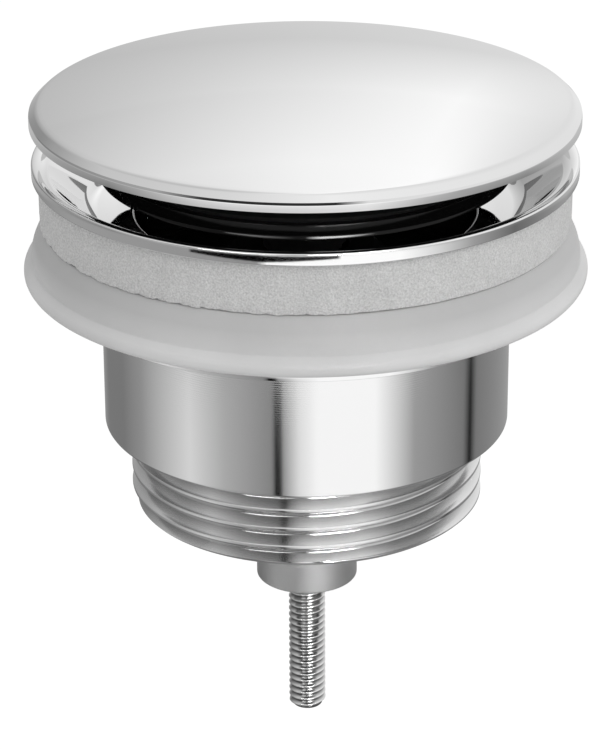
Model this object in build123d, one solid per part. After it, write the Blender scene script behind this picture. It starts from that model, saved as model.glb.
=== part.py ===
"""Pop up basin waste, unslotted, G 1 1/4, drawn open.

An upper half (flange, valve plug, click cartridge) sits in the basin's hole
from above. A lower half (outlet body with its cone seal) is pulled up against
the basin from below by one long central screw.

Millimetres, +Z up. The origin is on the axis, at the underside of the rim.
"""
import os
from math import cos, radians, sqrt

from build123d import *

# Fits
running_gap = 0.05       # round a part that turns or slides in its bore
seated_gap = 0.05        # between parts pushed together by hand
thread_gap = 0.05        # round a thread drawn as a plain cylinder

# How far arms and ribs run into what they join, and how far cutters reach past a solid
root_depth = 0.5
cut_reach = 1.0

# Inlet flange: neck, dished seat and rim
neck_r = 21.0
neck_wall = 1.2
lip_width = 1.5          # nearly level lip round the neck's bore
lip_fall = 0.13
lip_round = 1.1
seat_width = 3.75        # gently sloped seat for the plug's seal
seat_fall = 0.65
seat_round = 1.8         # hollow between the seat and the dish's side
dish_side_width = 5.25   # steep side of the dish, out to the land
dish_side_fall = 5.62
dish_edge_round = 2.3    # roll between the side and the land
dish_wall = 0.9
land_width = 1.35        # top of the rim
rim_height = 1.42
rim_round = 0.25
ledge_width = 1.2        # inward ledge at the foot of the neck
ledge_height = 2.0

# Foam washer under the rim
foam_inset = 0.75        # from the rim's edge
foam_height = 6.0
foam_top_round = 0.3
foam_foot_round = 0.5

# Cone seal, from below
cone_gap = 0.06          # between foam and cone seal with no basin between them
cone_height = 7.64
cone_top_inset = 0.3     # from the foam's side
cone_top_round = 0.6
cone_bulge = 1.1         # shoulder beyond the foam's side
cone_bulge_height = 1.6  # from the lower band up to the shoulder's widest place
cone_bulge_round = 2.0
cone_lip_step = 0.93     # lower band beyond the shoulder
cone_lip_height = 3.2
cone_lip_slant = 0.7
cone_lip_round = 0.6
cone_crease = 0.2
cone_crease_round = 0.15
cone_foot_height = 0.9   # where the lower band starts to turn in
cone_foot_round = 0.8
cone_foot_inset = 0.6    # flat foot beyond the slip ring
cone_neck_gap = 0.7      # around the neck

# Slip ring under the cone seal
ring_reach = 2.0         # beyond the collar
ring_height = 1.05
ring_round = 0.2

# Outlet body
body_neck_gap = 0.7      # between the neck and the body's bore
body_wall = 2.3
body_height = 15.48      # from the collar to the shoulder
body_round = 0.35
body_mouth_round = 0.3
collar_reach = 2.6       # beyond the body
collar_height = 0.9
collar_round = 0.2
shoulder_height = 2.5
tail_r = 41.91 / 2       # outside of a G 1 1/4 thread
tail_height = 10.2
tail_wall = 2.75
tail_lead = 1.3          # height and depth of the lead-in below the thread
tail_round = 0.2
undercut_height = 0.7
undercut_depth = 0.5
boss_r = 6.1
boss_below_tail = 11.2
boss_foot_round = 0.3
boss_top_round = 0.6
boss_gap = 2.5           # between the hub above and the boss, as drawn
outlet_arm_width = 2.4
outlet_arm_top = 1.4     # arms start this far below the boss's top
outlet_arm_foot = 1.6    # arms stop this far above the tail's end

# Valve plug
cap_opening = 4.68       # free height between rim and cap when open
cap_rest = 0.28          # height left between them when pushed right down
cap_overhang = 0.1       # beyond the rim
cap_edge = 1.05          # upright edge of the cap
cap_shoulder = 0.85      # rounded step from edge to dome
cap_rise = 3.2           # dome above its shoulder
cap_wall = 1.3
cap_lip = 1.1
cap_boss_r = 5.0
cap_boss_height = 4.0
cap_boss_root = 0.3      # how far the boss runs into the dome's wall
carrier_drop = 3.52      # from the cap's lower edge to the carrier's foot
carrier_wall = 1.8
carrier_web = 1.5
carrier_hub_wall = 2.2
carrier_ribs = 8
rib_width = 1.2
plug_side_gap = 1.05     # carrier and seal to the dish's side, at the seat's level
seal_web = 2.98          # seal's middle, which the washer clamps
seal_seat_gap = 0.07     # ring to seat, pushed right down
seal_ring_height = 1.57  # ring round the seal's edge
seal_ring_width = 2.5
seal_ring_top_round = 0.5
seal_ring_foot_round = 0.6
seal_waist = 1.4         # how far the seal is drawn in above its ring
seal_waist_round = 0.3
washer_r = 11.0
washer_height = 1.2
stud_r = 3.0
stud_grip = 3.4          # thread held by the cap's boss
stud_chamfer = 0.5
nut_flats = 10.0
nut_height = 2.0
nut_chamfer = 0.4

# Click cartridge
plunger_r = 5.0
plunger_length = 13.0
plunger_round = 0.4
plunger_flats = 14.0     # hexagonal flange at its top
plunger_flange = 1.0
plunger_flat = 4.2       # flat that carries the heart-shaped groove
plunger_flat_spare = 1.2 # flat left above the groove
stud_bore_depth = 5.4
spring_bore_depth = 7.8
housing_wall = 1.9
housing_floor = 2.3
housing_collar_r = 9.2
housing_collar_height = 3.1
housing_chamfer = 0.7
housing_chamfer_width = 1.2
stroke_spare = 0.3       # free height left under the flange at the end of the stroke
floor_spare = 0.5        # free height left under the plunger at the end of the stroke
pin_r = 0.5
pin_gap = 0.15           # pin to groove
pin_side_gap = 0.25      # leg to the plunger
pin_bend = 0.6
pin_foot_length = 2.6    # its foot in the floor
pin_sink = 0.92          # its foot below the floor's face
pin_length = 9.2         # from pivot to tip
pin_swing = 2.0          # sideways travel of the tip over the full stroke
pin_window_width = 5.8   # slot it swings in
pin_window_spare = 0.45  # slot left above the pin's tip
groove_depth = 0.9
latch_rise = 1.0         # from pushed right down back up to latched shut
oring_r = 0.54
oring_rebate_height = 1.1
oring_rebate_width = 1.2
oring_inset = 0.55       # ring's middle from the rebate's inner side
spring_r = 2.6           # outside of the coil
spring_wire_r = 0.3
spring_turns = 7.5
spring_side_gap = 0.15

# Hub, spider and clamping screw
hub_wall = 2.55
hub_floor = 2.2
hub_taper_width = 2.4
hub_taper_height = 2.8
hub_taper_round = 0.8
hub_top_round = 0.4
spider_drop = 0.2        # ring's top below the hub's
spider_ring_wall = 1.1
spider_ring_height = 8.0
inlet_arm_width = 2.2
inlet_arm_inset = 0.4    # arms are this much shorter than the ring, top and bottom
arm_count = 4
arm_start = 45           # degrees from +X
screw_r = 2.25
screw_head_r = 4.4
screw_head_height = 2.6
screw_head_round = 0.5
screw_socket_flats = 4.0
screw_socket_depth = 1.6
screw_end = 18.18        # screw beyond the boss, as drawn
screw_chamfer = 0.45
screw_hole_gap = 0.35
head_gap = 0.3
screw_washer_r = 6.0
screw_washer_height = 0.6

# Heights and radii that follow from the sizes above
neck_bore = neck_r - neck_wall
lip_r = neck_bore + lip_width
seat_r = lip_r + seat_width
dish_r = seat_r + dish_side_width
rim_r = dish_r + land_width
seat_z = rim_height - dish_side_fall
lip_z = seat_z - seat_fall
seat_slope = seat_fall / seat_width
side_slope = dish_side_fall / dish_side_width
side_wall = dish_wall * sqrt(1 + side_slope**2) / side_slope
underside_r = dish_r - rim_height / side_slope + side_wall
foam_r = rim_r - foam_inset
foam_foot = -foam_height
cone_shoulder_r = foam_r + cone_bulge
cone_lip_r = cone_shoulder_r + cone_lip_step
cone_top = foam_foot - cone_gap
cone_foot = cone_top - cone_height
body_bore = neck_r + body_neck_gap
body_r = body_bore + body_wall
collar_r = body_r + collar_reach
ring_r = collar_r + ring_reach
ring_foot = cone_foot - ring_height
collar_foot = ring_foot - collar_height
shoulder_z = collar_foot - body_height
tail_foot = shoulder_z - tail_height
boss_foot = tail_foot - boss_below_tail

stroke = cap_opening - cap_rest
cap_r = rim_r + cap_overhang
cap_foot = rim_height + cap_opening
crease = cap_foot + cap_edge
dome_r = cap_r - cap_shoulder
dome_foot = crease + cap_shoulder
dome_radius = (dome_r**2 + cap_rise**2) / (2 * cap_rise)
dome_centre = dome_foot + cap_rise - dome_radius
carrier_foot = cap_foot - carrier_drop


def seat_height(r):
    """Height of the seat at radius r."""
    return seat_z - (seat_r - r) * seat_slope


def underside_radius(z):
    """Radius of the outside of the dish's steep side at height z."""
    return underside_r + z / side_slope


def under_cap(r):
    """Height of the cap's inner face at radius r."""
    return dome_centre + sqrt((dome_radius - cap_wall) ** 2 - r**2)


# the outside of the dish's steep side meets the underside of its seat here
corner_r = (seat_height(0) - dish_wall + underside_r * side_slope) / (side_slope - seat_slope)
corner_z = seat_height(corner_r) - dish_wall
carrier_r = seat_r - plug_side_gap
seal_ring_foot = seat_height(carrier_r) + seal_seat_gap + stroke
seal_ring_top = seal_ring_foot + seal_ring_height
seal_foot = carrier_foot - seal_web
washer_foot = seal_foot - washer_height
nut_foot = washer_foot - nut_height

flange_foot = nut_foot - plunger_flange
plunger_foot = flange_foot - plunger_length
spring_bore = spring_r + spring_side_gap
spring_top = plunger_foot + spring_bore_depth
housing_top = flange_foot - stroke - stroke_spare
housing_bore = plunger_r + 2 * running_gap
housing_r = housing_bore + housing_wall
floor_top = plunger_foot - stroke - floor_spare
housing_foot = floor_top - housing_floor
pivot_z = floor_top - pin_sink
tip_z = pivot_z + pin_length
pin_dip = pin_length - sqrt(pin_length**2 - pin_swing**2)
pin_x = housing_bore + pin_r + pin_side_gap

hub_bore = housing_r + thread_gap
hub_r = hub_bore + hub_wall
hub_top = housing_top - housing_collar_height
head_top = housing_foot - head_gap
head_foot = head_top - screw_head_height
hub_floor_top = head_foot - screw_washer_height
hub_foot = hub_floor_top - hub_floor
spider_top = hub_top - spider_drop
ledge_top = spider_top - spider_ring_height
neck_foot = ledge_top - ledge_height
ring_inner = neck_bore - seated_gap - spider_ring_wall

boss_top = hub_foot - boss_gap
tail_bore = tail_r - tail_wall
screw_tip = boss_foot - screw_end


def turned(*corners):
    """Revolve an outline of (radius, height) corners, each with an optional rounding."""
    points = [(corner[0], corner[1]) for corner in corners]
    rounds = [corner[2] if len(corner) > 2 else 0 for corner in corners]
    outline = FilletPolyline(*points, radius=rounds, close=True)
    return revolve(Plane.XZ * make_face(outline), Axis.Z)


def turned_edges(*edges):
    """Revolve an outline made of lines and arcs."""
    return revolve(Plane.XZ * make_face(Wire(edges)), Axis.Z)


def disc(r, top, foot, bore=0.0):
    """Upright cylinder or ring between two heights."""
    solid = Pos(0, 0, (top + foot) / 2) * Cylinder(r, top - foot)
    if bore:
        solid -= Pos(0, 0, (top + foot) / 2) * Cylinder(bore, top - foot)
    return solid


def block(x_from, x_to, width, top, foot):
    """Box lying along +X, centred on the XZ plane."""
    return Pos((x_from + x_to) / 2, 0, (top + foot) / 2) * Box(x_to - x_from, width, top - foot)


def around(shape, count, start=0.0):
    """The same shape repeated round the axis."""
    return [Rot(0, 0, start + 360 * i / count) * shape for i in range(count)]


def inlet_flange():
    """Rim, dish, seat and neck, turned in one piece, with a ledge for the spider."""
    ledge_r = neck_bore - ledge_width
    return turned(
        (rim_r, rim_height, rim_round), (rim_r, 0), (underside_r, 0), (corner_r, corner_z),
        (neck_r, seat_height(neck_r) - dish_wall), (neck_r, neck_foot), (ledge_r, neck_foot),
        (ledge_r, ledge_top), (neck_bore, ledge_top), (neck_bore, lip_z - lip_fall, lip_round),
        (lip_r, lip_z), (seat_r, seat_z, seat_round), (dish_r, rim_height, dish_edge_round),
    )


def foam_seal():
    """Foam washer that fills the wedge between the dish's side and the basin."""
    bore = corner_r + seated_gap
    return turned(
        (underside_radius(-seated_gap) + seated_gap, -seated_gap),
        (foam_r, -seated_gap, foam_top_round), (foam_r, foam_foot, foam_foot_round),
        (bore, foam_foot), (bore, corner_z),
    )


def inlet_spider():
    """Ring resting on the neck's ledge, four arms, and the hub that holds the cartridge."""
    ring = disc(neck_bore - seated_gap, spider_top, ledge_top, ring_inner)
    arm = block(hub_r - root_depth, ring_inner + root_depth, inlet_arm_width,
                spider_top - inlet_arm_inset, ledge_top + inlet_arm_inset)
    hub = turned(
        (0, hub_foot), (hub_r - hub_taper_width, hub_foot, hub_taper_round),
        (hub_r, hub_foot + hub_taper_height, hub_taper_round), (hub_r, hub_top, hub_top_round),
        (0, hub_top),
    )
    spider = ring + hub + around(arm, arm_count, arm_start)
    spider -= disc(hub_bore, hub_top, hub_floor_top)
    spider -= disc(hub_bore + oring_rebate_width, hub_top, hub_top - oring_rebate_height)
    spider -= disc(screw_r + screw_hole_gap, hub_floor_top, hub_foot)
    return spider


def cartridge_housing():
    """Barrel with a hexagonal collar, a floor, and a slot for the latch pin."""
    collar_foot_z = housing_top - housing_collar_height
    hexagon = RegularPolygon(housing_collar_r, 6)
    housing = Pos(0, 0, collar_foot_z) * extrude(hexagon, housing_collar_height)
    housing &= turned(
        (0, collar_foot_z), (housing_collar_r, collar_foot_z),
        (housing_collar_r, housing_top - housing_chamfer),
        (housing_collar_r - housing_chamfer_width, housing_top), (0, housing_top),
    )
    housing += disc(housing_r, collar_foot_z, housing_foot)
    housing -= disc(housing_bore, housing_top, floor_top)
    window_top = tip_z + pin_r + pin_window_spare
    past = housing_r + cut_reach
    housing -= block(plunger_flat, past, pin_window_width, window_top, floor_top)
    foot_recess = pin_x - pin_r - pin_gap
    housing -= block(foot_recess, past, pin_window_width, floor_top, pivot_z - pin_r - pin_gap)
    bearing = pin_foot_length + pin_gap
    pivot = Rot(0, 90, 0) * Cylinder(pin_r + running_gap, bearing)
    return housing - Pos(foot_recess - bearing / 2, 0, pivot_z) * pivot


def heart_groove():
    """Closed heart-shaped lane for the pin's tip, cut into the plunger's flat."""
    bottom = (0, tip_z)
    press = (-pin_swing, tip_z + stroke - pin_dip)
    notch = (0, tip_z + stroke - latch_rise)
    back = (pin_swing, tip_z + stroke - pin_dip)
    lane_r = pin_r + pin_gap
    profile = trace(Polyline(bottom, press, notch, back, close=True), 2 * lane_r)
    for corner in (bottom, press, notch, back):
        profile += Pos(*corner) * Circle(lane_r)
    plane = Plane(origin=(plunger_flat - groove_depth, 0, 0), x_dir=(0, 1, 0), z_dir=(1, 0, 0))
    return extrude(plane * profile, plunger_r)


def plunger():
    """Stem that slides in the housing, with the heart groove and the spring's bore."""
    stem = turned(
        (0, plunger_foot), (plunger_r, plunger_foot, plunger_round),
        (plunger_r, flange_foot), (0, flange_foot),
    )
    hexagon = RegularPolygon(plunger_flats / 2, 6, major_radius=False)
    flange = Pos(0, 0, flange_foot) * extrude(hexagon, plunger_flange)
    flat_top = tip_z + stroke + plunger_flat_spare
    stem -= block(plunger_flat, plunger_r + cut_reach, 2 * plunger_r, flat_top, plunger_foot)
    body = stem + flange
    body -= disc(stud_r, nut_foot, nut_foot - stud_bore_depth)
    body -= disc(spring_bore, spring_top, plunger_foot)
    return body - heart_groove()


def latch_pin():
    """Bent wire: foot in the housing's floor, leg in the slot, tip in the groove."""
    reach_foot = pin_x - pin_r - pin_gap - pin_foot_length
    reach_tip = plunger_flat - groove_depth + pin_gap
    route = FilletPolyline(
        (reach_foot, 0, pivot_z), (pin_x, 0, pivot_z), (pin_x, 0, tip_z), (reach_tip, 0, tip_z),
        radius=[pin_bend, pin_bend],
    )
    section = Plane(origin=route @ 0, z_dir=route % 0) * Circle(pin_r)
    return sweep(section, path=route)


def return_spring():
    """Coil between the housing's floor and the plunger's bore."""
    mean_r = spring_bore - spring_side_gap - spring_wire_r
    height = spring_top - floor_top - 2 * (spring_wire_r + seated_gap)
    coil = Helix(height / spring_turns, height, mean_r)
    wire = Plane(origin=coil @ 0, z_dir=coil % 0) * Circle(spring_wire_r)
    lift = floor_top + spring_wire_r + seated_gap
    return Pos(0, 0, lift) * sweep(wire, path=coil, is_frenet=True)


def cartridge_oring():
    """Ring between the housing's collar and the hub's rebate."""
    middle = hub_top - oring_rebate_height / 2
    return Pos(0, 0, middle) * Torus(hub_bore + oring_inset, oring_r)


def clamp_screw():
    """Long screw from the hub's floor through the outlet's boss."""
    screw = turned(
        (0, screw_tip), (screw_r - screw_chamfer, screw_tip), (screw_r, screw_tip + screw_chamfer),
        (screw_r, head_foot), (screw_head_r, head_foot), (screw_head_r, head_top, screw_head_round),
        (0, head_top),
    )
    socket = RegularPolygon(screw_socket_flats / 2, 6, major_radius=False)
    return screw - Pos(0, 0, head_top - screw_socket_depth) * extrude(socket, screw_socket_depth)


def screw_washer():
    return disc(screw_washer_r, head_foot, hub_floor_top, screw_r + screw_hole_gap)


def plug_cap():
    """Domed cap with an upright edge, an inner lip and a threaded boss."""
    apex = dome_foot + cap_rise
    half = dome_r / 2
    dome_half = dome_centre + sqrt(dome_radius**2 - half**2)
    inner_r = cap_r - cap_lip
    inner_half = inner_r / 2
    bend = cap_shoulder * (1 - sqrt(0.5))
    shell = turned_edges(
        Line((0, under_cap(0)), (0, apex)),
        ThreePointArc((0, apex), (half, dome_half), (dome_r, dome_foot)),
        ThreePointArc((dome_r, dome_foot), (cap_r - bend, dome_foot - bend), (cap_r, crease)),
        Line((cap_r, crease), (cap_r, cap_foot)),
        Line((cap_r, cap_foot), (inner_r, cap_foot)),
        Line((inner_r, cap_foot), (inner_r, under_cap(inner_r))),
        ThreePointArc((inner_r, under_cap(inner_r)), (inner_half, under_cap(inner_half)),
                      (0, under_cap(0))),
    )
    boss_foot_z = under_cap(0) - cap_boss_height
    shell += disc(cap_boss_r, under_cap(0) + cap_boss_root, boss_foot_z)
    return shell - disc(stud_r, boss_foot_z + stud_grip, boss_foot_z)


def plug_carrier():
    """Moulded cup under the cap: outer wall, web, hub and radial ribs up to the dome."""
    hub_out = cap_boss_r + carrier_hub_wall
    half = carrier_r / 2
    middle_top = (0, under_cap(0) - seated_gap)
    half_top = (half, under_cap(half) - seated_gap)
    wall_top = (carrier_r, under_cap(carrier_r) - seated_gap)
    arch = turned_edges(
        Line((0, carrier_foot), middle_top), ThreePointArc(middle_top, half_top, wall_top),
        Line(wall_top, (carrier_r, carrier_foot)), Line((carrier_r, carrier_foot), (0, carrier_foot)),
    )
    web_top = carrier_foot + carrier_web
    wall_r = carrier_r - carrier_wall
    hollow = disc(wall_r, under_cap(0), web_top, hub_out)
    rib = block(hub_out - root_depth, wall_r + root_depth, rib_width, under_cap(0), web_top)
    for one in around(rib, carrier_ribs):
        hollow -= one
    boss_foot_z = under_cap(0) - cap_boss_height
    carrier = arch - hollow
    carrier -= disc(cap_boss_r + seated_gap, under_cap(0), boss_foot_z - seated_gap)
    return carrier - disc(stud_r + seated_gap, under_cap(0), carrier_foot)


def plug_seal():
    """Rubber disc under the carrier: a drawn-in waist and a thick ring that meets the seat."""
    waist = carrier_r - seal_waist
    inner = carrier_r - seal_ring_width
    bore = stud_r + seated_gap
    return turned(
        (bore, carrier_foot - seated_gap), (waist, carrier_foot - seated_gap),
        (waist, seal_ring_top, seal_waist_round),
        (carrier_r, seal_ring_top, seal_ring_top_round),
        (carrier_r, seal_ring_foot, seal_ring_foot_round), (inner, seal_ring_foot),
        (inner - (seal_ring_foot - seal_foot), seal_foot), (bore, seal_foot),
    )


def seal_washer():
    return disc(washer_r, seal_foot - seated_gap, washer_foot, stud_r + seated_gap)


def stud_nut():
    """Hexagonal nut that clamps washer, seal and carrier against the cap."""
    corner_r = nut_flats / 2 / cos(radians(30))
    nut = Pos(0, 0, nut_foot) * extrude(RegularPolygon(corner_r, 6), nut_height - seated_gap)
    nut &= turned(
        (0, nut_foot), (nut_flats / 2, nut_foot), (corner_r, nut_foot + nut_chamfer),
        (corner_r, washer_foot), (0, washer_foot),
    )
    return nut - disc(stud_r, washer_foot, nut_foot)


def cap_stud():
    """Threaded stud that joins the cap to the plunger."""
    stud_top = under_cap(0) - cap_boss_height + stud_grip - seated_gap
    stud_foot = nut_foot - stud_bore_depth + seated_gap
    r = stud_r - thread_gap
    return turned(
        (0, stud_foot), (r - stud_chamfer, stud_foot), (r, stud_foot + stud_chamfer),
        (r, stud_top - stud_chamfer), (r - stud_chamfer, stud_top), (0, stud_top),
    )


def cone_seal():
    """Soft seal with a rounded shoulder and a wider lower lip."""
    lip_top = cone_foot + cone_lip_height
    bore = neck_r + cone_neck_gap
    return turned(
        (bore, cone_top), (foam_r - cone_top_inset, cone_top, cone_top_round),
        (cone_shoulder_r, lip_top + cone_bulge_height, cone_bulge_round),
        (cone_shoulder_r, lip_top + cone_crease, cone_crease_round),
        (cone_lip_r, lip_top - cone_lip_slant, cone_lip_round),
        (cone_lip_r, cone_foot + cone_foot_height, cone_foot_round),
        (ring_r + cone_foot_inset, cone_foot, cone_foot_inset), (bore, cone_foot),
    )


def slip_ring():
    """Thin metal ring that lets the body turn without dragging the seal."""
    return turned(
        (body_bore, cone_foot - seated_gap), (ring_r, cone_foot - seated_gap, ring_round),
        (ring_r, ring_foot, ring_round), (body_bore, ring_foot),
    )


def outlet_body():
    """Collar, cylinder, threaded tail, and the boss on its four arms."""
    top = ring_foot - seated_gap
    bore_foot = shoulder_z + shoulder_height
    undercut_r = tail_r - undercut_depth
    undercut_z = shoulder_z - undercut_height
    shell = turned(
        (body_bore, top, body_mouth_round), (collar_r, top), (collar_r, collar_foot, collar_round),
        (body_r, collar_foot), (body_r, shoulder_z, body_round), (undercut_r, shoulder_z),
        (undercut_r, undercut_z), (tail_r, undercut_z - undercut_depth),
        (tail_r, tail_foot + tail_lead), (tail_r - tail_lead, tail_foot, tail_round),
        (tail_bore, tail_foot), (tail_bore, bore_foot - (body_bore - tail_bore) / 2),
        (body_bore, bore_foot),
    )
    boss = turned(
        (0, boss_foot), (boss_r, boss_foot, boss_foot_round), (boss_r, boss_top, boss_top_round),
        (0, boss_top),
    )
    arm = block(boss_r - root_depth, tail_bore + root_depth, outlet_arm_width,
                boss_top - outlet_arm_top, tail_foot + outlet_arm_foot)
    body = shell + boss + around(arm, arm_count, arm_start)
    return body - disc(screw_r + thread_gap, boss_top, boss_foot)


nodes = {
    "inlet_flange": inlet_flange(),
    "foam_seal": foam_seal(),
    "inlet_spider": inlet_spider(),
    "cartridge_housing": cartridge_housing(),
    "cartridge_oring": cartridge_oring(),
    "return_spring": return_spring(),
    "plug_cap": plug_cap(),
    "plug_carrier": plug_carrier(),
    "plug_seal": plug_seal(),
    "seal_washer": seal_washer(),
    "stud_nut": stud_nut(),
    "cap_stud": cap_stud(),
    "plunger": plunger(),
    "latch_pin": latch_pin(),
    "clamp_screw": clamp_screw(),
    "screw_washer": screw_washer(),
    "outlet_body": outlet_body(),
    "cone_seal": cone_seal(),
    "slip_ring": slip_ring(),
}

os.makedirs("parts", exist_ok=True)
for name, shape in nodes.items():
    shape.label = name
    export_step(shape, f"parts/{name}.step")

print(f"stroke {stroke:.3f}, carrier r {carrier_r:.3f}, seal ring z {seal_ring_foot:.3f}")
print(f"seat r {seat_r:.3f}, seat z {seat_z:.3f}, corner r {corner_r:.3f} z {corner_z:.3f}")
print(f"housing r {housing_r:.2f}, hub r {hub_r:.2f}, pivot z {pivot_z:.3f}, tip z {tip_z:.3f}")
print(f"neck foot {neck_foot:.3f}, ring inner {ring_inner:.3f}, tail bore {tail_bore:.3f}")
print(f"boss foot {boss_foot:.3f}, screw tip {screw_tip:.3f}, tail foot {tail_foot:.3f}")
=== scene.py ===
"""Pop up basin waste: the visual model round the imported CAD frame. Metres, +Z up."""
from math import atan2, pi, radians, sqrt, tau

import bmesh
import bpy
from mathutils import Matrix, Vector, noise


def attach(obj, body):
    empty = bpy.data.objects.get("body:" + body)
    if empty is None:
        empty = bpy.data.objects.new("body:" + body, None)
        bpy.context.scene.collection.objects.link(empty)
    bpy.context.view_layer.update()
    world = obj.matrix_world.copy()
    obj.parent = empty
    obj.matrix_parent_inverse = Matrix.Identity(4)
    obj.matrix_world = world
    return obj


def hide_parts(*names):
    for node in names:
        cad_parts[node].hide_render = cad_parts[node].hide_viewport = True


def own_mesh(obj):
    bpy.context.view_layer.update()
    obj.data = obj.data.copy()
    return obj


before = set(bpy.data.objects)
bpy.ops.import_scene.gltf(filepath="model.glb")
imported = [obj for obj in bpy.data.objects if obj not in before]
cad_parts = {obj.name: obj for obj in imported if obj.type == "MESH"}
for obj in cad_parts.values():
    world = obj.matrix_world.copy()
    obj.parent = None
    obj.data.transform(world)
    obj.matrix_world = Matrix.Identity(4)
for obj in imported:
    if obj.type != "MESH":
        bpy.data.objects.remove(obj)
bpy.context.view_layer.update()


# Plug cap:
# The cap is a thin domed disc of brass, pressed, polished and chromed. Its upright edge is
# about 1 mm high and turns back inside as a lip. The real cap has a threaded boss under it for
# the stud, which this shell leaves out.

mm = 0.001


def outline_point(bm, radius, height):
    """A corner of an outline in the XZ plane, given in millimetres."""
    return bm.verts.new((radius * mm, 0, height * mm))


def bow(bm, start, centre, angle, steps):
    """Draws an arc by spinning one corner about a centre in the XZ plane. Returns its end."""
    made = bmesh.ops.spin(bm, geom=[start], cent=(centre[0] * mm, 0, centre[1] * mm),
                          axis=(0, 1, 0), angle=radians(angle), steps=steps)
    return next(item for item in made["geom_last"] if isinstance(item, bmesh.types.BMVert))


def chain(bm, start, *corners):
    """Straight edges from one corner on through others. Returns the last one."""
    for radius, height in corners:
        nxt = outline_point(bm, radius, height)
        bm.edges.new((start, nxt))
        start = nxt
    return start


def ease(bm, roundings, segments=4):
    """Rounds the outline's corners that stand at given places, by a reach in millimetres."""
    for radius, height, reach in roundings:
        place = Vector((radius * mm, 0, height * mm))
        corner = min(bm.verts, key=lambda vert: (vert.co - place).length)
        bmesh.ops.bevel(bm, geom=[corner], offset=reach * mm, offset_type="OFFSET",
                        affect="VERTICES", segments=segments, profile=0.5, material=-1)


def repeat(bm, shape, times, *moves):
    """Copies a shape on and on, and moves each copy a step further than the one before."""
    for _ in range(times):
        shape = bmesh.ops.duplicate(bm, geom=shape)["geom"]
        corners = [item for item in shape if isinstance(item, bmesh.types.BMVert)]
        for move in moves:
            bmesh.ops.transform(bm, verts=corners, matrix=move)


def turn(bm, steps):
    """Spins the outline a quarter round, repeats the quarter, and closes seams and poles."""
    bmesh.ops.spin(bm, geom=bm.verts[:] + bm.edges[:], cent=(0, 0, 0), axis=(0, 0, 1),
                   angle=tau / 4, steps=steps // 4)
    repeat(bm, bm.verts[:] + bm.edges[:] + bm.faces[:], 3, Matrix.Rotation(tau / 4, 4, "Z"))
    bmesh.ops.remove_doubles(bm, verts=bm.verts, dist=0.0002 * mm)
    bmesh.ops.dissolve_degenerate(bm, edges=bm.edges, dist=0.0001 * mm)


def piece(name, bm, body, finish, crease=30):
    """Makes the mesh an object that rides on a body, smooth except over sharp edges."""
    bmesh.ops.recalc_face_normals(bm, faces=bm.faces)
    for face in bm.faces:
        face.smooth = True
    for edge in bm.edges:
        edge.smooth = len(edge.link_faces) != 2 or edge.calc_face_angle() < radians(crease)
    mesh = bpy.data.meshes.new(name)
    bm.to_mesh(mesh)
    bm.free()
    mesh.materials.append(finish)
    made = bpy.data.objects.new(name, mesh)
    bpy.context.scene.collection.objects.link(made)
    even = made.modifiers.new("even_shading", "WEIGHTED_NORMAL")
    even.keep_sharp = True
    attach(made, body)
    return made


def node(tree, kind, **settings):
    """Adds a shader node. Names of sockets set their values, other names set its options."""
    made = tree.nodes.new("ShaderNode" + kind)
    for name, value in settings.items():
        label = name.replace("_", " ")
        if label in made.inputs:
            made.inputs[label].default_value = value
        else:
            setattr(made, name, value)
    return made


def wire(tree, *links):
    """Joins pairs of (node, output) and (node, input)."""
    for source, output, target, entry in links:
        tree.links.new(source.outputs[output], target.inputs[entry])


def plain_finish(name, colour, roughness, **sockets):
    """A Principled finish with its single values set on the shader itself."""
    finish = bpy.data.materials.new(name)
    finish.use_nodes = True
    shader = finish.node_tree.nodes["Principled BSDF"]
    shader.inputs["Base Color"].default_value = (*colour, 1)
    shader.inputs["Roughness"].default_value = roughness
    for label, value in sockets.items():
        shader.inputs[label.replace("_", " ")].default_value = value
    return finish, finish.node_tree, shader


def patchy_gloss(tree, shader, scale, detail, least, most):
    """Lets the roughness wander between two values over the surface."""
    place = node(tree, "TexCoord")
    patches = node(tree, "TexNoise", Scale=scale, Detail=detail)
    gloss = node(tree, "MapRange", To_Min=least, To_Max=most)
    wire(tree, (place, "Object", patches, "Vector"), (patches, "Fac", gloss, "Value"),
         (gloss, "Result", shader, "Roughness"))


def fine_bumps(tree, shader, scale, detail, strength, depth):
    """Makes the surface a little uneven. The depth is in millimetres."""
    place = node(tree, "TexCoord")
    grain = node(tree, "TexNoise", Scale=scale, Detail=detail)
    bump = node(tree, "Bump", Strength=strength, Distance=depth * mm)
    wire(tree, (place, "Object", grain, "Vector"), (grain, "Fac", bump, "Height"),
         (bump, "Normal", shader, "Normal"))


# polished chrome: faint swirls from the buffing wheel change its gloss a little
chrome, tree, shader = plain_finish("polished_chrome", (0.885, 0.885, 0.885), 0.04, Metallic=1)
patchy_gloss(tree, shader, scale=90, detail=4, least=0.01, most=0.035)
fine_bumps(tree, shader, scale=420, detail=2, strength=0.01, depth=0.02)

cap_r, cap_foot, cap_crease, cap_apex = 31.75, 6.10, 6.98, 11.20
dome_edge_r, dome_edge_z = 30.9, 8.0
shoulder_r, shoulder_z = 31.70, 7.22
rise = cap_apex - dome_edge_z
dome_radius = (dome_edge_r ** 2 + rise ** 2) / (2 * rise)
dome_centre = cap_apex - dome_radius
wall = 1.3
inner_radius = dome_radius - wall
lip_r = 30.65
lip_top = dome_centre + sqrt(inner_radius ** 2 - lip_r ** 2)

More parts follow.
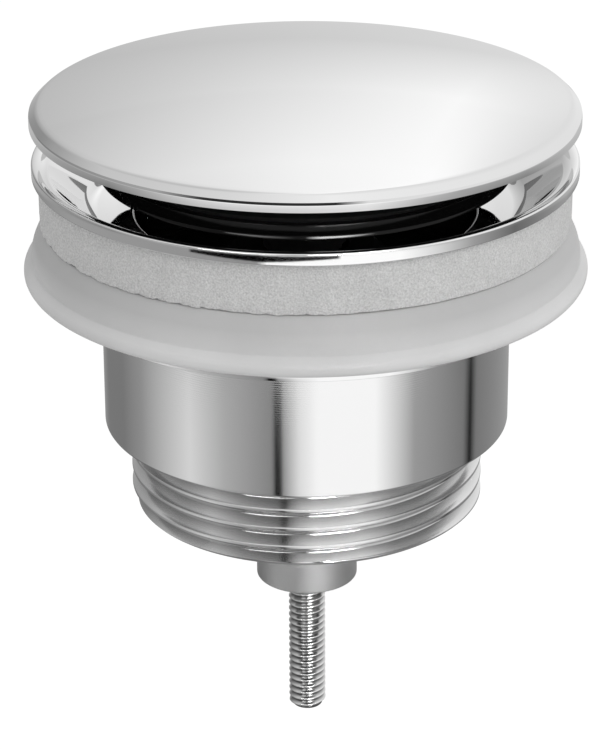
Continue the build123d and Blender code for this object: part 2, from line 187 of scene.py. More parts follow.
bm = bmesh.new()
end = outline_point(bm, 0, cap_apex)
end = bow(bm, end, (0, dome_centre), atan2(dome_edge_r, dome_edge_z - dome_centre) * 360 / tau, 40)
end = chain(bm, end, (shoulder_r, shoulder_z), (cap_r, cap_crease), (cap_r, cap_foot),
            (lip_r, cap_foot), (lip_r, lip_top))
half = atan2(lip_r, lip_top - dome_centre) * 360 / tau
bow(bm, end, (0, dome_centre), -half, 30)
ease(bm, [(dome_edge_r, dome_edge_z, 0.28), (cap_r, cap_crease, 0.12),
          (lip_r, cap_foot, 0.1)])
turn(bm, 320)
cap = piece("plug_cap_shell", bm, "plug", chrome)
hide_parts("plug_cap")


# Inlet flange:
# Rim, dish and neck are one brass turning, polished and chromed. The dish has a steep side,
# a gently sloped seat for the plug's rubber, and a rounded lip where the bore begins.

rim_r, rim_top, land_r = 31.65, 1.42, 30.3
crease_r, crease_z = 25.05, -4.20
lip_edge_r, lip_edge_z = 21.3, -4.85
bore_r, bore_top = 19.8, -4.98
under_rim_r, under_dish_r, under_dish_z = 30.205, 25.516, -5.019
ledge_in, ledge_z = 18.6, -20.6
neck_out, neck_top, neck_end = 21.0, -5.80, -22.6
bm = bmesh.new()
start = outline_point(bm, bore_r, bore_top)
end = chain(bm, start, (lip_edge_r, lip_edge_z), (crease_r, crease_z), (land_r, rim_top),
            (rim_r, rim_top), (rim_r, 0), (under_rim_r, 0), (under_dish_r, under_dish_z),
            (neck_out, neck_top), (neck_out, neck_end), (ledge_in, neck_end),
            (ledge_in, ledge_z), (bore_r, ledge_z))
bm.edges.new((end, start))
ease(bm, [(bore_r, bore_top, 0.4), (lip_edge_r, lip_edge_z, 0.9), (crease_r, crease_z, 1.0),
          (land_r, rim_top, 1.0), (rim_r, rim_top, 0.22), (rim_r, 0, 0.12),
          (neck_out, neck_end, 0.3), (ledge_in, neck_end, 0.2), (ledge_in, ledge_z, 0.2)],
     segments=8)
turn(bm, 320)
flange = piece("inlet_flange_dish", bm, "inlet", chrome)
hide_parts("inlet_flange")


# Foam washer:
# A washer cut from closed-cell foam. Its cut side is grainy, and on the left its lower
# edge is ragged where the blade left it.

def two_tones(tree, dark, light, start=0, end=1):
    """A colour ramp from a darker to a lighter tone, between two values of what feeds it."""
    tone = node(tree, "ValToRGB")
    first, last = tone.color_ramp.elements
    first.position, last.position = start, end
    first.color, last.color = (*dark, 1), (*light, 1)
    return tone


foam, tree, shader = plain_finish("cut_foam", (0.56, 0.56, 0.555), 0.9, Specular_IOR_Level=0.2)
place = node(tree, "TexCoord")
cells = node(tree, "TexVoronoi", Scale=4200)
grain = node(tree, "TexNoise", Scale=4600, Detail=3, Roughness=0.6)
clouds = node(tree, "TexNoise", Scale=400, Detail=3)
soft = node(tree, "MapRange", To_Min=-0.1, To_Max=0.1)
tone = two_tones(tree, (0.54, 0.54, 0.538), (0.79, 0.79, 0.787), start=0.3, end=0.7)
both = node(tree, "Math", operation="ADD")
bump = node(tree, "Bump", Strength=0.6, Distance=0.00012)
mixed = node(tree, "Math", operation="MULTIPLY_ADD")
mixed.inputs[1].default_value = 1
wire(tree, (place, "Object", cells, "Vector"), (place, "Object", grain, "Vector"),
     (place, "Object", clouds, "Vector"), (grain, "Fac", mixed, 0),
     (clouds, "Fac", soft, "Value"), (soft, "Result", mixed, 2),
     (cells, "Distance", both, 0), (grain, "Fac", both, 1), (both, "Value", bump, "Height"),
     (mixed, "Value", tone, "Fac"), (tone, "Color", shader, "Base Color"),
     (bump, "Normal", shader, "Normal"))

foam_out, foam_top, foam_end = 30.9, -0.05, -6.0
foam_in_top, foam_in_foot = 30.208, 25.566
cut_rows = (-1.5, -3.0, -4.5)
bm = bmesh.new()
start = outline_point(bm, foam_in_top, foam_top)
end = chain(bm, start, (foam_out, foam_top), *[(foam_out, row) for row in cut_rows],
            (foam_out, foam_end), (foam_in_foot, foam_end), (foam_in_foot, under_dish_z))
bm.edges.new((end, start))
ease(bm, [(foam_out, foam_top, 0.25), (foam_out, foam_end, 0.15)])
turn(bm, 960)
frayed_top, frayed_height, frayed_in = -4.4, 1.4, 30
ragged_right, ragged_width, least_ragged = 12, 20, 0.25
for vert in bm.verts:
    outside = vert.co.xy.length > frayed_in * mm
    frayed = max(0, (frayed_top - vert.co.z / mm) / frayed_height) * outside
    leftward = max(0, min(1, (ragged_right * mm - vert.co.x) / (ragged_width * mm)))
    ragged = least_ragged + (1 - least_ragged) * leftward
    nick = noise.noise(vert.co * 900) + 0.6 * noise.noise(vert.co * 2300)
    wander = noise.noise(vert.co * 110)
    vert.co.z += frayed * (0.05 + 0.1 * ragged * nick + 0.08 * wander) * mm
    vert.co.xy *= 1 - frayed * ragged * max(0, 0.003 + 0.004 * nick)
washer = piece("foam_washer", bm, "inlet", foam)
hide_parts("foam_seal")


# Cone seal:
# A soft moulding of milky silicone that centres the waste in the basin's hole. Its lower
# band stands a little wider than the shoulder above it.

silicone, tree, shader = plain_finish(
    "milky_silicone", (0.66, 0.66, 0.66), 0.4, Specular_IOR_Level=0.25,
    Subsurface_Weight=0.3, Subsurface_Scale=0.002, Subsurface_Radius=(1, 1, 1))
place = node(tree, "TexCoord")
haze = node(tree, "TexNoise", Scale=60, Detail=3)
tone = two_tones(tree, (0.71, 0.71, 0.71), (0.77, 0.77, 0.77), start=0.35, end=0.65)
height = node(tree, "SeparateXYZ")
# painted shade: the upper part, under the foam washer, is painted darker
shade_foot, shade_top = -10.6, -7.8
under_foam_shade = node(tree, "MapRange", From_Min=shade_foot * mm, From_Max=shade_top * mm, To_Max=0.45)
shaded_tone = node(tree, "MixRGB", Color2=(0.36, 0.36, 0.36, 1))
wire(tree, (place, "Object", haze, "Vector"), (haze, "Fac", tone, "Fac"),
     (place, "Object", height, "Vector"), (height, "Z", under_foam_shade, "Value"),
     (under_foam_shade, "Result", shaded_tone, "Fac"), (tone, "Color", shaded_tone, "Color1"),
     (shaded_tone, "Color", shader, "Base Color"))
fine_bumps(tree, shader, scale=500, detail=3, strength=0.12, depth=0.05)

body_in = 21.7
cone_top_r, cone_top, cone_foot = 30.6, -6.06, -13.7
side_r, side_top, side_foot = 32.0, -8.9, -10.3
band_r, band_top, band_foot = 32.93, -11.2, -12.45
under_r, under_z = 29.2, -13.5
bm = bmesh.new()
start = outline_point(bm, body_in, cone_top)
end = chain(bm, start, (cone_top_r, cone_top), (side_r, side_top), (side_r, side_foot),
            (band_r, band_top), (band_r, band_foot), (under_r, under_z), (body_in, cone_foot))
bm.edges.new((end, start))
ease(bm, [(cone_top_r, cone_top, 0.15), (side_r, side_top, 1.0), (side_r, side_foot, 0.1),
          (band_r, band_top, 0.4), (band_r, band_foot, 0.7), (under_r, under_z, 0.6)],
     segments=6)
turn(bm, 256)
seal = piece("cone_seal_moulding", bm, "outlet", silicone)
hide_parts("cone_seal")


# Outlet body:
# Collar, cylinder and shoulder are turned from brass bar and chromed over the marks of the
# tool, which run round it and smear its reflections upright.

def from_axis(tree):
    """A node whose Value is a point's distance from the axis of the waste, in metres."""
    place = node(tree, "TexCoord")
    level = node(tree, "VectorMath", operation="MULTIPLY")
    level.inputs[1].default_value = (1, 1, 0)
    reach = node(tree, "VectorMath", operation="LENGTH")
    wire(tree, (place, "Object", level, 0), (level, "Vector", reach, 0))
    return reach


turned_chrome, tree, shader = plain_finish(
    "turned_chrome", (0.865, 0.865, 0.865), 0.1, Metallic=1, Anisotropic=0.85,
    Anisotropic_Rotation=0.25)
place = node(tree, "TexCoord")
lines = node(tree, "TexWave", wave_type="BANDS", bands_direction="Z", Scale=1160, Distortion=0.3,
             Detail=2, Detail_Scale=1.5)
fine = node(tree, "TexNoise", Scale=1, Detail=3)
stretch = node(tree, "Mapping", Scale=(30, 30, 9000))
bump = node(tree, "Bump", Strength=0.035, Distance=0.00002)
both = node(tree, "Math", operation="ADD")
around = node(tree, "Tangent", direction_type="RADIAL", axis="Z")
reach = from_axis(tree)
# painted shade: the thread's roots and the bore inside are painted darker than the crests
root_shade = node(tree, "MapRange", From_Min=19.6 * mm, From_Max=20.8 * mm)
tone = node(tree, "MixRGB", Color1=(0.6, 0.6, 0.6, 1), Color2=(0.865, 0.865, 0.865, 1))
gloss = node(tree, "MapRange", From_Min=21 * mm, From_Max=23.5 * mm, To_Min=0.14, To_Max=0.08)
wire(tree, (reach, "Value", root_shade, "Value"), (root_shade, "Result", tone, "Fac"),
     (tone, "Color", shader, "Base Color"), (reach, "Value", gloss, "Value"),
     (gloss, "Result", shader, "Roughness"))
wire(tree, (place, "Object", lines, "Vector"), (place, "Object", stretch, "Vector"),
     (stretch, "Vector", fine, "Vector"), (lines, "Fac", both, 0), (fine, "Fac", both, 1),
     (both, "Value", bump, "Height"), (bump, "Normal", shader, "Normal"),
     (around, "Tangent", shader, "Tangent"))

collar_r, collar_top, collar_foot = 26.6, -14.8, -15.65
body_r, body_foot, body_floor = 24.0, -31.13, -28.6
tail_r, tail_in, tail_in_top = 20.455, 18.205, -30.4
bm = bmesh.new()
start = outline_point(bm, body_in, collar_top)
end = chain(bm, start, (collar_r, collar_top), (collar_r, collar_foot), (body_r, collar_foot),
            (body_r, body_foot), (tail_r, body_foot), (tail_in, body_foot),
            (tail_in, tail_in_top), (body_in, body_floor))
bm.edges.new((end, start))
ease(bm, [(collar_r, collar_top, 0.15), (collar_r, collar_foot, 0.15),
          (body_r, body_foot, 0.35), (body_in, collar_top, 0.3)])
turn(bm, 320)
cylinder = piece("outlet_cylinder", bm, "outlet", turned_chrome)
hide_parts("outlet_body")


# Slip ring:
# A flat metal ring, turned and chromed. It lies loose between the cone seal and the body's
# collar, so that the body can turn without dragging the seal round.

slip_r, slip_top, slip_foot = 28.6, -13.75, -14.75
bm = bmesh.new()
start = outline_point(bm, body_in, slip_top)
end = chain(bm, start, (slip_r, slip_top), (slip_r, slip_foot), (body_in, slip_foot))
bm.edges.new((end, start))
ease(bm, [(slip_r, slip_top, 0.18), (slip_r, slip_foot, 0.05)])
turn(bm, 256)
ring = piece("slip_ring_turned", bm, "outlet", chrome)
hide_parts("slip_ring")


# Threads:
# The tail's G 1 1/4 thread is cut on a lathe and chromed with the body. It runs out into a
# narrow groove under the shoulder, and a lead-in cone starts it at the foot.

def helix(bm, tooth, pitch, foot, turns, steps):
    """Spins a tooth's outline of (radius, height) corners one turn up and repeats the turn."""
    first = outline_point(bm, tooth[0][0], foot + tooth[0][1])
    chain(bm, first, *[(radius, foot + height) for radius, height in tooth[1:]])
    bmesh.ops.spin(bm, geom=bm.verts[:] + bm.edges[:], cent=(0, 0, 0), axis=(0, 0, 1),
                   dvec=(0, 0, pitch * mm / steps), angle=tau, steps=steps)
    repeat(bm, bm.verts[:] + bm.edges[:] + bm.faces[:], turns - 1,
           Matrix.Translation((0, 0, pitch * mm)))
    bmesh.ops.remove_doubles(bm, verts=bm.verts, dist=0.002 * mm)


def cut_level(bm, height, keep_above):
    """Cuts the mesh level at a height and returns the edges of the cut."""
    bmesh.ops.bisect_plane(bm, geom=bm.verts[:] + bm.edges[:] + bm.faces[:],
                           plane_co=(0, 0, height * mm), plane_no=(0, 0, 1), dist=0.0005 * mm,
                           clear_inner=keep_above, clear_outer=not keep_above)
    level = height * mm
    return [edge for edge in bm.edges if len(edge.link_faces) == 1
            and all(abs(vert.co.z - level) < 0.001 * mm for vert in edge.verts)]


def draw_in(bm, edges, radius, height):
    """Extrudes a ring of edges and sets the new ring to a radius and height in millimetres."""
    made = bmesh.ops.extrude_edge_only(bm, edges=edges)["geom"]
    for vert in (item for item in made if isinstance(item, bmesh.types.BMVert)):
        flat = Vector((vert.co.x, vert.co.y, 0)).normalized() * radius * mm
        vert.co = flat + Vector((0, 0, height * mm))
    return [item for item in made if isinstance(item, bmesh.types.BMEdge)
            and all(abs(vert.co.xy.length - radius * mm) < 0.001 * mm for vert in item.verts)]


def hold_within(bm, limit):
    """Pulls vertices in to the radius that limit gives for their height, as a cutter would."""
    for vert in bm.verts:
        most = limit(vert.co.z / mm) * mm
        reach = vert.co.xy.length
        if reach > most:
            vert.co.xy *= most / reach


pitch, root_r, flank_r, crest_r = 2.309, 19.55, 20.72, 20.955
tooth = [(root_r, 0), (19.62, 0.16), (flank_r, 0.78), (20.94, 0.92), (crest_r, 1.02),
         (crest_r, 1.2), (20.94, 1.3), (flank_r, 1.44), (19.62, 2.06), (root_r, 2.22),
         (root_r, pitch)]
tail_top, tail_foot, below_foot = -31.1, -41.33, 2.6
groove_r, groove_top, groove_foot, groove_slope = 20.0, -31.75, -31.9, 5
lead_in_r = 20.3
bm = bmesh.new()
helix(bm, tooth, pitch, tail_foot - below_foot, turns=7, steps=160)
hold_within(bm, lambda z: min(crest_r if z < groove_foot
                              else groove_r + max(0, groove_top - z) * groove_slope,
                              lead_in_r + (z - tail_foot)))
foot_ring = cut_level(bm, tail_foot, keep_above=True)
top_ring = cut_level(bm, tail_top, keep_above=False)
foot_bore = draw_in(bm, foot_ring, tail_in, tail_foot)
top_bore = draw_in(bm, top_ring, tail_in, tail_top)
bmesh.ops.bridge_loops(bm, edges=foot_bore + top_bore)
tail = piece("outlet_tail_thread", bm, "outlet", turned_chrome, crease=35)
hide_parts("outlet_body")


# Outlet boss:
# The boss is cast in one with the body and hangs in its tail on four arms. It keeps the matt,
# sandy skin of the casting under its chrome, and its hole is tapped for the screw.

cast_chrome, tree, shader = plain_finish("cast_chrome", (0.6, 0.6, 0.6), 0.46, Metallic=1)
fine_bumps(tree, shader, scale=900, detail=5, strength=0.3, depth=0.05)

boss_r, boss_in, boss_top, boss_foot = 6.1, 2.3, -33.0, -52.53
bm = bmesh.new()
start = outline_point(bm, boss_in, boss_top)
end = chain(bm, start, (boss_r, boss_top), (boss_r, boss_foot), (boss_in, boss_foot))
bm.edges.new((end, start))
ease(bm, [(boss_r, boss_top, 0.6), (boss_r, boss_foot, 0.3)])
turn(bm, 96)
arm_top, arm_foot, arm_in, arm_out = -34.4, -39.73, 5.6, 18.7
arm_width, arm_edge = 2.4, 0.25
for quarter in range(4):
    arm = bmesh.ops.create_cube(bm, size=1)["verts"]
    size = Matrix.Diagonal(((arm_out - arm_in) * mm, arm_width * mm, (arm_top - arm_foot) * mm, 1))
    middle = Matrix.Translation(((arm_in + arm_out) / 2 * mm, 0, (arm_top + arm_foot) / 2 * mm))
    bmesh.ops.transform(bm, verts=arm, matrix=Matrix.Rotation(tau * (quarter + 0.5) / 4, 4, "Z")
                        @ middle @ size)
    sides = {edge for vert in arm for edge in vert.link_edges}
    bmesh.ops.bevel(bm, geom=list(sides), offset=arm_edge * mm, offset_type="OFFSET",
                    affect="EDGES", segments=2, profile=0.5, material=-1)
boss = piece("outlet_boss", bm, "outlet", cast_chrome)
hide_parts("outlet_body")


# Clamping screw:
# A long steel screw with a rolled fine thread and a socket head, chamfered at its end. The
# roots of its thread are painted dark, as painted shade between the crests.

steel, tree, shader = plain_finish("rolled_steel", (0.7, 0.7, 0.7), 0.2, Metallic=1)
patchy_gloss(tree, shader, scale=700, detail=3, least=0.14, most=0.24)
reach = from_axis(tree)
# painted shade: the thread's roots are painted dark
root_shade = node(tree, "MapRange", From_Min=1.85 * mm, From_Max=2.22 * mm)
tone = node(tree, "MixRGB", Color1=(0.2, 0.2, 0.2, 1), Color2=(0.86, 0.86, 0.86, 1))
wire(tree, (reach, "Value", root_shade, "Value"), (root_shade, "Result", tone, "Fac"),
     (tone, "Color", shader, "Base Color"))

screw_pitch, screw_r, screw_root, crest_ease, root_ease = 0.85, 2.25, 1.78, 0.05, 0.06
screw_tip, below_tip, tip_r, head_foot = -70.71, 1.2, 1.7, -27.7
tooth = [(screw_root, 0), (screw_root + root_ease, 0.07), (screw_r - crest_ease, 0.34),
         (screw_r, 0.4), (screw_r, 0.45), (screw_r - crest_ease, 0.51),
         (screw_root + root_ease, 0.78), (screw_root, screw_pitch)]
bm = bmesh.new()
helix(bm, tooth, screw_pitch, screw_tip - below_tip, turns=54, steps=40)
hold_within(bm, lambda z: min(screw_r, tip_r + (z - screw_tip)))
end_ring = cut_level(bm, screw_tip, keep_above=True)
top_ring = cut_level(bm, head_foot, keep_above=False)
middle_r = 0.6
for ring_edges, height in ((end_ring, screw_tip), (top_ring, head_foot)):
    middle_ring = draw_in(bm, ring_edges, middle_r, height)
    bmesh.ops.holes_fill(bm, edges=middle_ring, sides=0)
shank = piece("clamp_screw_thread", bm, "screw", steel, crease=50)
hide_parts("clamp_screw")

head_r, head_top, socket_r, socket_floor = 4.4, -25.1, 2.31, -26.7
bm = bmesh.new()
start = outline_point(bm, 0, head_foot)
chain(bm, start, (head_r, head_foot), (head_r, head_top), (socket_r, head_top),
      (socket_r, socket_floor), (0, socket_floor))
ease(bm, [(head_r, head_foot, 0.15), (head_r, head_top, 0.5)])
turn(bm, 48)
head = piece("clamp_screw_head", bm, "screw", steel)
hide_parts("clamp_screw")


# Plug seal:
# A disc of black rubber, clamped under the carrier. Round its edge runs a thick ring that
# shuts on the seat, with a drawn-in waist above it, and the mould leaves it with a sheen.

black_rubber, tree, shader = plain_finish("black_rubber", (0.006, 0.006, 0.006), 0.07,
                                          Specular_IOR_Level=0.2)
reach = from_axis(tree)
gloss = node(tree, "MapRange", From_Min=23.2 * mm, From_Max=23.6 * mm, To_Min=0.6, To_Max=0.06)
wire(tree, (reach, "Value", gloss, "Value"), (gloss, "Result", shader, "Roughness"))
fine_bumps(tree, shader, scale=600, detail=4, strength=0.03, depth=0.04)

seal_hole, waist_r, ring_out, ring_in, disc_r = 3.05, 22.6, 24.0, 21.5, 21.01
seal_top, ring_top, ring_end, seal_end = 2.53, 1.658, 0.088, -0.40
ring_bevel, ring_lip, ring_lip_z = 23.66, 23.87, 0.45
bm = bmesh.new()
start = outline_point(bm, seal_hole, seal_top)
end = chain(bm, start, (waist_r, seal_top), (waist_r, ring_top), (ring_bevel, ring_top),
            (ring_lip, ring_lip_z), (ring_out, ring_end), (ring_in, ring_end), (disc_r, seal_end),
            (seal_hole, seal_end))
bm.edges.new((end, start))
ease(bm, [(ring_bevel, ring_top, 0.03), (ring_lip, ring_lip_z, 0.08),
          (ring_out, ring_end, 0.05)], segments=8)
turn(bm, 256)
plug_ring = piece("plug_seal_ring", bm, "plug", black_rubber)
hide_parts("plug_seal")


# Black mouldings:
# The carrier under the cap, the spider in the neck and the cartridge's barrel are moulded in
# black plastic. The mould has left faint rings round their walls.

black_plastic, tree, shader = plain_finish("black_plastic", (0.007, 0.008, 0.008), 0.7,
                                           Specular_IOR_Level=0.02)
place = node(tree, "TexCoord")
skin = node(tree, "TexNoise", Scale=900, Detail=3)
rings = node(tree, "TexWave", wave_type="BANDS", bands_direction="Z", Scale=330, Distortion=0.2,
             Detail=1)
both = node(tree, "Math", operation="ADD")
bump = node(tree, "Bump", Strength=0.35, Distance=0.00004)
wire(tree, (place, "Object", skin, "Vector"), (place, "Object", rings, "Vector"),
     (skin, "Fac", both, 0), (rings, "Fac", both, 1), (both, "Value", bump, "Height"),
     (bump, "Normal", shader, "Normal"))


def dress(name, finish):
    """Gives a CAD node that stays in view its finish."""
    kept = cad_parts[name]
    kept.data.materials.clear()
    kept.data.materials.append(finish)


for name in ("plug_carrier", "inlet_spider", "cartridge_housing"):
    dress(name, black_plastic)
dress("cartridge_oring", black_rubber)


# Cartridge parts:
# The plunger is acetal and the nut on the stud bare brass, both painted dark as painted shade.
# The latch pin, the stud, the washers and the spring are stainless steel.

# painted shade: the brass is painted dark; the noise varies its tone at random, as tarnish
brass, tree, shader = plain_finish("brass_painted_shade", (0.26, 0.2, 0.11), 0.42, Metallic=1)
place = node(tree, "TexCoord")
tarnish = node(tree, "TexNoise", Scale=160, Detail=5)
tone = two_tones(tree, (0.2, 0.15, 0.08), (0.32, 0.25, 0.14))
bump = node(tree, "Bump", Strength=0.2, Distance=0.03 * mm)
wire(tree, (place, "Object", tarnish, "Vector"), (tarnish, "Fac", tone, "Fac"),
     (tone, "Color", shader, "Base Color"), (tarnish, "Fac", bump, "Height"),
     (bump, "Normal", shader, "Normal"))
# painted shade: the acetal is painted near black, for the shade deep in the neck
acetal, tree, shader = plain_finish("acetal_painted_shade", (0.03, 0.03, 0.03), 0.5)
fine_bumps(tree, shader, scale=800, detail=3, strength=0.1, depth=0.03)
stainless, tree, shader = plain_finish("stainless", (0.6, 0.6, 0.6), 0.25, Metallic=1)
patchy_gloss(tree, shader, scale=900, detail=3, least=0.18, most=0.35)

for name, finish in {"stud_nut": brass, "plunger": acetal, "latch_pin": stainless,
                     "cap_stud": stainless, "seal_washer": stainless,
                     "screw_washer": stainless}.items():
    dress(name, finish)


# Return spring:
# A coil of stainless wire that stands between the barrel's floor and the plunger. The
# real one shortens as the plug is pushed down; this coil is drawn at one length.

coil_r, wire_r, coil_foot, coil_rise, coil_turns = 2.3, 0.3, -22.15, 12.0, 7.5
coil_steps, wire_sides = 180, 10
bm = bmesh.new()
upright = Matrix.Translation((coil_r * mm, 0, coil_foot * mm)) @ Matrix.Rotation(tau / 4, 4, "X")
bmesh.ops.create_circle(bm, cap_ends=False, segments=wire_sides, radius=wire_r * mm,
                         matrix=upright)
bmesh.ops.spin(bm, geom=bm.verts[:] + bm.edges[:], cent=(0, 0, 0), axis=(0, 0, 1),
               dvec=(0, 0, coil_rise * mm / coil_steps), angle=tau * coil_turns, steps=coil_steps)
bmesh.ops.holes_fill(bm, edges=[edge for edge in bm.edges if edge.is_boundary], sides=0)
spring = piece("return_spring_coil", bm, "inlet", stainless, crease=60)
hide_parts("return_spring")
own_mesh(spring)


# Studio:
# A tent of pale cloth stands round the waste, out of the camera's sight, and only gloss shows
# it. It is bright at the window in front, grey at the sides and behind on the left, and has
# narrow black flags. Two lamps shine through it in front.

def seen_rays(tree):
    """A node whose Value is 1 for rays from the camera, gloss and glass, and 0 for others."""
    ray = node(tree, "LightPath")
    direct = node(tree, "Math", operation="MAXIMUM")
    shown = node(tree, "Math", operation="MAXIMUM")
    wire(tree, (ray, "Is Camera Ray", direct, 0), (ray, "Is Glossy Ray", direct, 1),
         (direct, "Value", shown, 0), (ray, "Is Transmission Ray", shown, 1))
    return shown


world = bpy.data.worlds.new("studio")
bpy.context.scene.world = world
world.use_nodes = True
tree = world.node_tree
sky = tree.nodes["Background"]
sky.inputs["Color"].default_value = (1, 1, 1, 1)
soft_light, seen_white = 0.62, 1.0
shown = seen_rays(tree)
strength = node(tree, "MapRange", To_Min=soft_light, To_Max=seen_white)
wire(tree, (shown, "Value", strength, "Value"), (strength, "Result", sky, "Strength"))


def stand(name, bm, finish):
    """Makes a mesh part of the studio, with its finish."""
    mesh = bpy.data.meshes.new(name)
    bm.to_mesh(mesh)
    bm.free()
    mesh.materials.append(finish)
    made = bpy.data.objects.new(name, mesh)
    bpy.context.scene.collection.objects.link(made)
    return made


def hang(tree, azimuth, stops):
    """A ring of cloth: brightness by degrees round from the camera's side, right positive."""
    cloth = node(tree, "ValToRGB")
    marks = cloth.color_ramp.elements
    while len(marks) < len(stops):
        marks.new(0.5)
    for mark, (degrees_round, _) in zip(marks, stops):
        mark.position = (degrees_round + 180) / 360
    for mark, (_, brightness) in zip(marks, stops):
        mark.color = (brightness, brightness, brightness, 1)
    wire(tree, (azimuth, "Result", cloth, "Fac"))
    return cloth


tent_r, tent_foot, tent_top = 0.6, -0.45, 1.0
cloth = bpy.data.materials.new("tent_cloth")
cloth.use_nodes = True
tree = cloth.node_tree
tree.nodes.clear()
place = node(tree, "TexCoord")
split = node(tree, "SeparateXYZ")
flip = node(tree, "Math", operation="MULTIPLY")
flip.inputs[1].default_value = -1
angle = node(tree, "Math", operation="ARCTAN2")
azimuth = node(tree, "MapRange", From_Min=-pi, From_Max=pi)
glow = node(tree, "Emission")
out = node(tree, "OutputMaterial")
wire(tree, (place, "Object", split, "Vector"), (split, "Y", flip, 0), (split, "X", angle, 0),
     (flip, "Value", angle, 1), (angle, "Value", azimuth, "Value"))

# The cloth's brightness by degrees round, a row for each height, in plain steps where a cloth,
# the window or a flag begins or ends. They go back to brightness read off the photo's chrome.
# low down, where the body and the thread reflect
skirt = ((-180, 0.4), (-150, 0.2), (-125, 0.2), (-105, 0.3), (-68, 0.75), (-46, 0.45),
         (-19, 0.25), (-17, 0), (-14.4, 0), (-12.6, 0.3), (-4, 0.8), (6, 1.05), (38, 1.05),
         (62, 0.35), (98, 0.2), (104, 0), (110, 0.2), (180, 0.4))
# where the flange's side reflects
belt = ((-180, 0.2), (-110, 0.35), (-19, 0.3), (-16, 1.1), (38, 1.1), (72, 0.35), (94, 0.15),
        (136, 0.35), (180, 0.2))
# where the cap's edge reflects
collar = ((-180, 0.5), (-86, 0.2), (-42, 0.6), (24, 0.8), (50, 0.45), (100, 0.2), (136, 0.45),
          (180, 0.5))
# the line under the cap's crease
ledge = ((-180, 0.6), (-110, 0.4), (-70, 0.5), (-30, 1.15), (24, 1.15), (64, 0.45), (180, 0.6))
# level with the object
low = ((-180, 0.65), (-138, 0.2), (-60, 0.4), (-40, 0.03), (12, 0.03), (24, 0.8), (160, 0.85),
       (180, 0.65))
middle = ((-180, 0.85), (-160, 0.5), (-136, 0.35), (30, 0.95), (163, 0.8), (170, 1.05),
          (180, 0.85))
high = ((-180, 1.0), (-160, 0.7), (-130, 0.55), (20, 0.95), (162, 0.8), (168, 1.1), (180, 1.0))
shade = hang(tree, azimuth, skirt)
ground = node(tree, "MapRange", From_Min=tent_foot, From_Max=-0.36, To_Min=0.3, To_Max=0)
dimmed = node(tree, "MixRGB", Color2=(0, 0, 0, 1))
wire(tree, (split, "Z", ground, "Value"), (ground, "Result", dimmed, "Fac"),
     (shade, "Color", dimmed, "Color1"))
shade = dimmed
for stops, joins_at, joined_at in ((belt, -0.262, -0.245), (collar, -0.2165, -0.2145),
                                   (ledge, -0.205, -0.195), (low, -0.14, -0.12),
                                   (middle, 0.06, 0.25), (high, 0.27, 0.5)):
    upper = hang(tree, azimuth, stops)
    climb = node(tree, "MapRange", From_Min=joins_at, From_Max=joined_at)
    blend = node(tree, "MixRGB")
    wire(tree, (split, "Z", climb, "Value"), (climb, "Result", blend, "Fac"),
         (shade, "Color", blend, "Color1"), (upper, "Color", blend, "Color2"))
    shade = blend

# the middle of the ceiling is plain
reach = from_axis(tree)
steep = node(tree, "Math", operation="DIVIDE")
overhead = node(tree, "MapRange", From_Min=2.6, From_Max=7)
plain = node(tree, "MixRGB", Color2=(0.85, 0.85, 0.85, 1))
wire(tree, (split, "Z", steep, 0), (reach, "Value", steep, 1),
     (steep, "Value", overhead, "Value"), (overhead, "Result", plain, "Fac"),
     (shade, "Color", plain, "Color1"))
shade = plain

# a black flag pinned to the belt, pointing down: the dark wedge on the flange's side
flag_middle, flag_half, flag_edge = -17, 31, 1.5
flag_tip, flag_top, pin_foot, pin_top = -0.224, -0.2195, -0.2165, -0.216
aim = node(tree, "Math", operation="ADD")
aim.inputs[1].default_value = radians(-flag_middle)
apart = node(tree, "Math", operation="ABSOLUTE")
taper = node(tree, "MapRange", From_Min=flag_tip, From_Max=flag_top, To_Max=radians(flag_half))
inside = node(tree, "Math", operation="SUBTRACT")
edge = node(tree, "MapRange", From_Max=radians(flag_edge))
end = node(tree, "MapRange", From_Min=pin_top, From_Max=pin_foot)
pinned = node(tree, "Math", operation="MULTIPLY")
flag = node(tree, "MixRGB", Color2=(0, 0, 0, 1))
wire(tree, (angle, "Value", aim, 0), (aim, "Value", apart, 0), (split, "Z", taper, "Value"),
     (taper, "Result", inside, 0), (apart, "Value", inside, 1), (inside, "Value", edge, "Value"),
     (split, "Z", end, "Value"), (edge, "Result", pinned, 0), (end, "Result", pinned, 1),
     (pinned, "Value", flag, "Fac"), (shade, "Color", flag, "Color1"))
shade = flag

# two soft lamps behind the cloth, a weak one on the left and a strong one on the right, seen as
# the thin bright lines on the plug's rubber ring
lamps = hang(tree, azimuth, ((-44, 0), (-42, 0.2), (-28, 0.2), (-6, 0), (0, 0), (8, 1), (20, 1),
                             (37, 0)))
lamp_power, lamp_foot, lamp_top, lamp_edge = 40, 0.14, 0.21, 0.01
rise = node(tree, "MapRange", From_Min=lamp_foot, From_Max=lamp_foot + lamp_edge,
            To_Max=lamp_power)
fall = node(tree, "MapRange", From_Min=lamp_top, From_Max=lamp_top - lamp_edge)
lit = node(tree, "Math", operation="MULTIPLY")
spread = node(tree, "Math", operation="MULTIPLY")
total = node(tree, "MixRGB", blend_type="ADD", Fac=1)
wire(tree, (split, "Z", rise, "Value"), (split, "Z", fall, "Value"), (rise, "Result", lit, 0),
     (fall, "Result", lit, 1), (lit, "Value", spread, 0), (lamps, "Color", spread, 1),
     (shade, "Color", total, "Color1"), (spread, "Value", total, "Color2"),
     (total, "Color", glow, "Color"), (glow, "Emission", out, "Surface"))

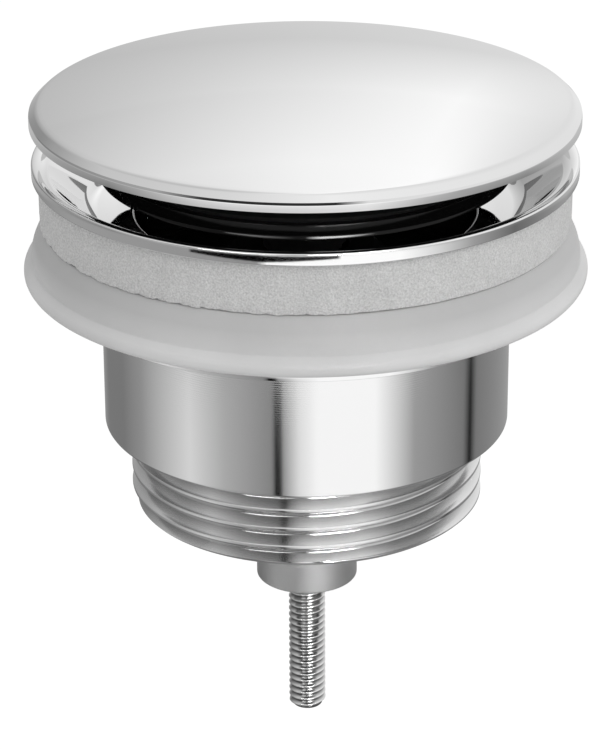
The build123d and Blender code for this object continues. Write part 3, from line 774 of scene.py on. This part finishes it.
bm = bmesh.new()
bmesh.ops.create_circle(bm, cap_ends=True, cap_tris=True, segments=96, radius=tent_r)
rim = [edge for edge in bm.edges if edge.is_boundary]
made = bmesh.ops.extrude_edge_only(bm, edges=rim)["geom"]
top_verts = [item for item in made if isinstance(item, bmesh.types.BMVert)]
bmesh.ops.translate(bm, verts=bm.verts[:], vec=(0, 0, tent_foot))
bmesh.ops.translate(bm, verts=top_verts, vec=(0, 0, tent_top - tent_foot))
bmesh.ops.holes_fill(bm, edges=[edge for edge in bm.edges if edge.is_boundary], sides=0)
tent = stand("tent", bm, cloth)
tent.visible_camera = False
tent.visible_diffuse = False
tent.visible_shadow = False
tent.visible_transmission = False

# a broad soft lamp from the front on the right gives the pale seals their shape
fill = bpy.data.lights.new("fill", "AREA")
fill.shape, fill.size, fill.energy = "DISK", 0.6, 2.2
fill_round, fill_tilt, fill_away = 35, 55, 0.9
fill_lamp = bpy.data.objects.new("fill", fill)
fill_lamp.matrix_world = (Matrix.Rotation(radians(fill_round), 4, "Z")
                          @ Matrix.Rotation(radians(fill_tilt), 4, "X")
                          @ Matrix.Translation((0, 0, fill_away)))
fill_lamp.visible_glossy = False
fill_lamp.visible_camera = False
bpy.context.scene.collection.objects.link(fill_lamp)

# the floor glows a little where it is seen, so that it comes out white
floor_z, floor_half, floor_glow = -0.46, 4, 0.45
pale, tree, shader = plain_finish("pale_floor", (0.9, 0.9, 0.9), 0.9, Specular_IOR_Level=0)
shown = seen_rays(tree)
lift = node(tree, "MapRange", To_Max=floor_glow)
glow = node(tree, "Emission")
both = node(tree, "AddShader")
wire(tree, (shown, "Value", lift, "Value"), (lift, "Result", glow, "Strength"),
     (shader, "BSDF", both, 0), (glow, "Emission", both, 1),
     (both, "Shader", tree.nodes["Material Output"], "Surface"))
bm = bmesh.new()
bmesh.ops.create_grid(bm, x_segments=1, y_segments=1, size=floor_half)
bmesh.ops.translate(bm, verts=bm.verts[:], vec=(0, 0, floor_z))
stand("floor", bm, pale)


# Camera:
# A long lens from about 375 mm away, looking down on the waste from the front. Its place was
# fitted to the outlines of the round edges in the photo.

distance, down, target_z, aside, roll = 0.375, 23.5, -0.02634, -0.00062, -0.26
focal_length, film_width, nearest = 151.2, 36, 0.01
lens = bpy.data.cameras.new("camera")
lens.lens = focal_length
lens.sensor_width = film_width
lens.clip_start = nearest
camera = bpy.data.objects.new("camera", lens)
bpy.context.scene.collection.objects.link(camera)
camera.matrix_world = (Matrix.Translation((aside, 0, target_z))
                       @ Matrix.Rotation(radians(90 - down), 4, "X")
                       @ Matrix.Rotation(radians(roll), 4, "Z")
                       @ Matrix.Translation((0, 0, distance)))
bpy.context.scene.camera = camera
bpy.context.scene.view_settings.view_transform = "Standard"
